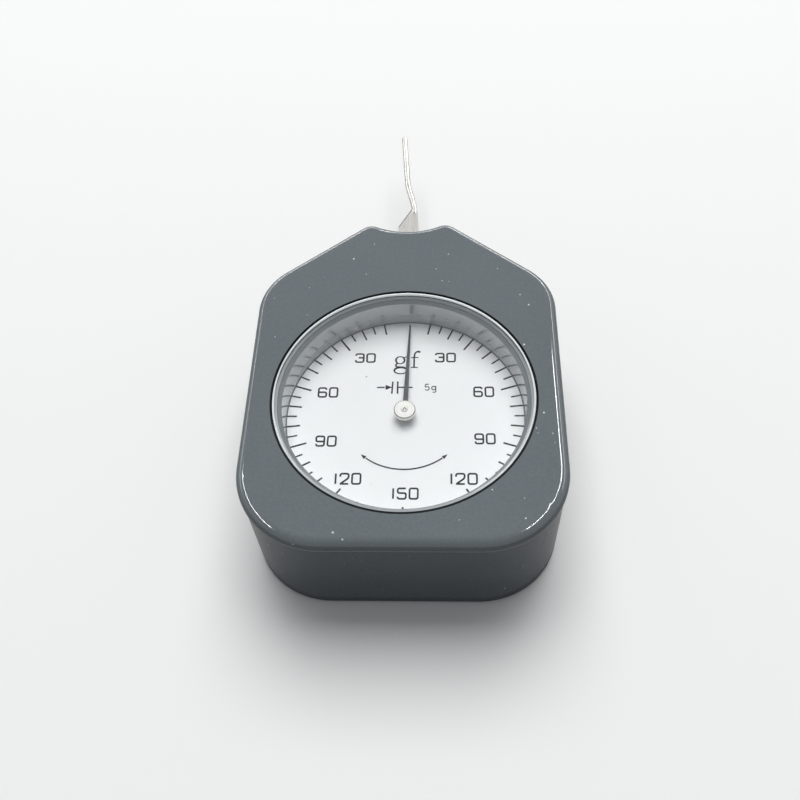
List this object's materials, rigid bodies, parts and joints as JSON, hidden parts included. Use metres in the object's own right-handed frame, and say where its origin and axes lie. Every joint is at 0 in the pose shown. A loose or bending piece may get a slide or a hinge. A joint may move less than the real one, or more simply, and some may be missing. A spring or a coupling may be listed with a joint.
{
  "type": "dial tension gauge",
  "caption": "Hand-held dial gauge for small spring forces: a flat black case with a round window over a two-way scale, and a thin feeler lever that swings out of its top edge.",
  "frame": {"origin": "where the pointer's axis meets the back face of the case", "axes": "+Z out of the dial along the pointer's axis, +Y along the case towards the feeler's tip, +X to the right seen from the front"},
  "size_m": [0.06, 0.1184, 0.026],
  "materials": {
    "case_black": "moulded, glossy black",
    "crystal_clear": "clear, polished, with a ground rim",
    "seal_grey": "matt",
    "dial_white": "satin white",
    "print_black": "printed ink",
    "plate_brass": "satin",
    "bush_brass": "turned",
    "steel_bright": "polished",
    "steel_screw": "zinc plated",
    "steel_pin": "ground",
    "spring_bronze": "rolled bronze strip",
    "spring_steel": "blued spring steel",
    "needle_dark": "satin dark grey",
    "cap_nickel": "turned, warm nickel",
    "block_aluminium": "milled"
  },
  "bodies": {
    "case": {"front_case": "case_black", "back_cover": "case_black", "cover_screws": "steel_screw", "crystal": "crystal_clear", "crystal_seal": "seal_grey", "dial_plate": "dial_white", "dial_scale": "print_black", "front_plate": "plate_brass", "rear_plate": "plate_brass", "plate_pillars": "bush_brass", "movement_screws": "steel_screw", "pillar_screws": "steel_screw", "block_screws": "steel_screw", "pointer_bush_front": "bush_brass", "pointer_bush_rear": "bush_brass", "lever_bush_front": "bush_brass", "lever_bush_rear": "bush_brass", "zero_pin": "steel_pin", "travel_pins": "steel_pin", "spring_block": "block_aluminium", "spring_clamps": "block_aluminium", "clamp_screws": "steel_screw", "leaf_spring_left": "spring_steel", "leaf_spring_right": "spring_steel", "hairspring": "spring_bronze", "hairspring_stud": "bush_brass"},
    "lever": {"feeler_lever": "steel_bright", "lever_arbor": "steel_pin", "lever_hub": "bush_brass", "lever_collar": "bush_brass", "sector_rivets": "steel_pin", "sector_gear": "plate_brass", "drive_pin": "steel_pin"},
    "pointer": {"pointer_arbor": "steel_pin", "pinion": "steel_pin", "hairspring_collet": "bush_brass", "pointer_boss": "bush_brass", "needle": "needle_dark", "pointer_cap": "cap_nickel"}
  },
  "joints": [
    {"name": "lever_swing", "type": "hinge", "parent": "case", "child": "lever", "pos_m": [0, 0.029, 0.013], "axis": [0, 0, 1], "range_deg": [-13.33, 13.33], "stiffness_Nm_per_rad": 0.35, "deforming": ["leaf_spring_left", "leaf_spring_right"]},
    {"name": "pointer_turn", "type": "hinge", "parent": "case", "child": "pointer", "pos_m": [0, 0, 0.0193], "axis": [0, 0, 1], "range_deg": [-180, 180], "deforming": ["hairspring"]}
  ],
  "couplings": [
    {"joint": "pointer_turn", "follows": "lever_swing", "ratio": -13.5}
  ]
}
